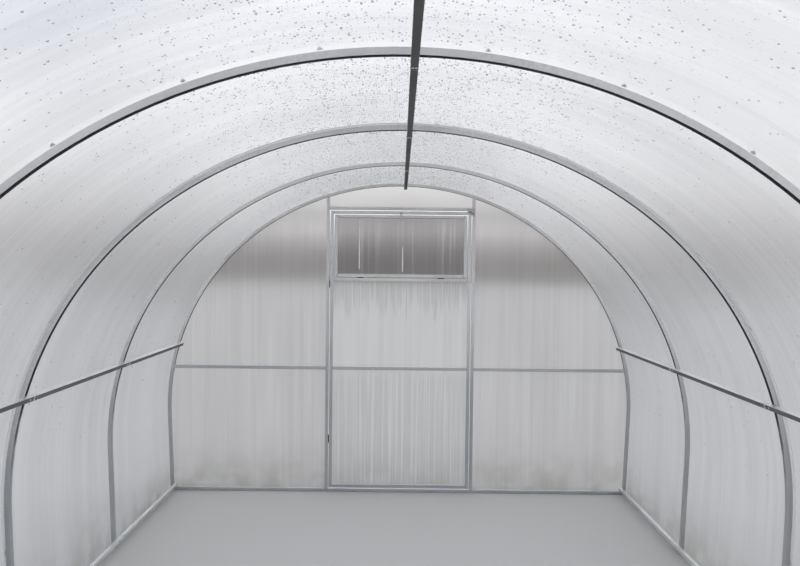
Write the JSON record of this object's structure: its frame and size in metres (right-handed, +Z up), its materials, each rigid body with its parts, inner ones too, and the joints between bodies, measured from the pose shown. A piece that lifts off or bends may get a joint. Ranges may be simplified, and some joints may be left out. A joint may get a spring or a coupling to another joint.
{
  "type": "polytunnel greenhouse",
  "caption": "Walk-in arched tunnel greenhouse: square steel hoops and purlins under twin-wall polycarbonate sheets, with an end door and vent.",
  "frame": {"origin": "on the ground, in the middle of the tunnel's footprint", "axes": "+Z up, +Y along the tunnel towards the back end, +X across it to the right of someone facing that end"},
  "size_m": [3.0172, 6.1, 2.0121],
  "materials": {
    "galvanised_tube": "galvanised, dull spangle",
    "fittings": "zinc plated",
    "cover_sheet": "clear twin-wall polycarbonate",
    "end_sheet": "clear twin-wall polycarbonate"
  },
  "bodies": {
    "greenhouse": {"arch_1": "galvanised_tube", "arch_2": "galvanised_tube", "arch_3": "galvanised_tube", "arch_4": "galvanised_tube", "arch_5": "galvanised_tube", "arch_6": "galvanised_tube", "arch_7": "galvanised_tube", "back_door_posts": "galvanised_tube", "back_door_stop": "fittings", "back_header": "galvanised_tube", "back_hinge_pins": "fittings", "back_left_sheet": "end_sheet", "back_mid_rails": "galvanised_tube", "back_right_sheet": "end_sheet", "back_sill": "galvanised_tube", "back_top_sheet": "end_sheet", "base_rails": "galvanised_tube", "cover_sheet_1": "cover_sheet", "cover_sheet_2": "cover_sheet", "cover_sheet_3": "cover_sheet", "front_door_frame": "galvanised_tube", "front_door_posts": "galvanised_tube", "front_door_sheet": "end_sheet", "front_door_stop": "fittings", "front_header": "galvanised_tube", "front_hinge_pins": "fittings", "front_hinge_sleeves": "fittings", "front_left_sheet": "end_sheet", "front_mid_rails": "galvanised_tube", "front_right_sheet": "end_sheet", "front_sill": "galvanised_tube", "front_top_sheet": "end_sheet", "front_vent_frame": "galvanised_tube", "front_vent_hinges": "fittings", "front_vent_latch": "fittings", "front_vent_sheet": "end_sheet", "ridge_purlin": "galvanised_tube", "side_purlins": "galvanised_tube"},
    "back_door": {"back_door_frame": "galvanised_tube", "back_door_sheet": "end_sheet", "back_hinge_sleeves": "fittings", "back_vent_frame": "galvanised_tube", "back_vent_sheet": "end_sheet", "back_vent_hinges": "fittings", "back_vent_latch": "fittings"}
  },
  "joints": [
    {"name": "back_door_hinge", "type": "hinge", "parent": "greenhouse", "child": "back_door", "pos_m": [-0.45675, 3.006, 1], "axis": [0, 0, 1], "range_deg": [0, 150]}
  ]
}
